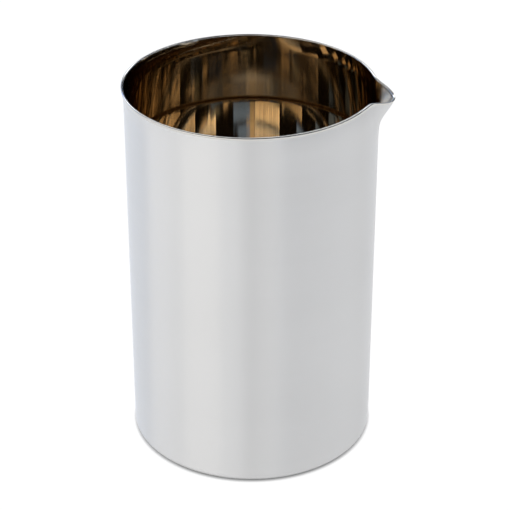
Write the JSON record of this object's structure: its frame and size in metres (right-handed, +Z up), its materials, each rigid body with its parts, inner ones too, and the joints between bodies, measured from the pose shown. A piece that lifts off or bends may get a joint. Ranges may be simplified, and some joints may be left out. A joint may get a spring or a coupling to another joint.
{
  "type": "mixing glass",
  "caption": "Double-walled steel mixing vessel for stirred drinks, with a satin straight wall, a polished inside and a pulled pouring spout at the lip.",
  "frame": {"origin": "middle of the foot's flat ring, on the table", "axes": "+Z up along the vessel's axis, +X towards the spout"},
  "size_m": [0.0963, 0.09, 0.139],
  "materials": {
    "satin_steel": "fine satin, brushed around the wall",
    "polished_steel": "mirror polished",
    "polished_lip": "polished",
    "base_steel": "satin",
    "weld_steel": "ground weld",
    "seal_solder": "dull solder",
    "getter_alloy": "pressed powder",
    "clip_steel": "plain sheet"
  },
  "bodies": {
    "root": {"outer_shell": "satin_steel", "inner_liner": "polished_steel", "lip_weld": "polished_lip", "base_plate": "base_steel", "base_weld": "weld_steel", "port_seal": "seal_solder", "getter": "getter_alloy", "getter_clip": "clip_steel"}
  },
  "joints": []
}
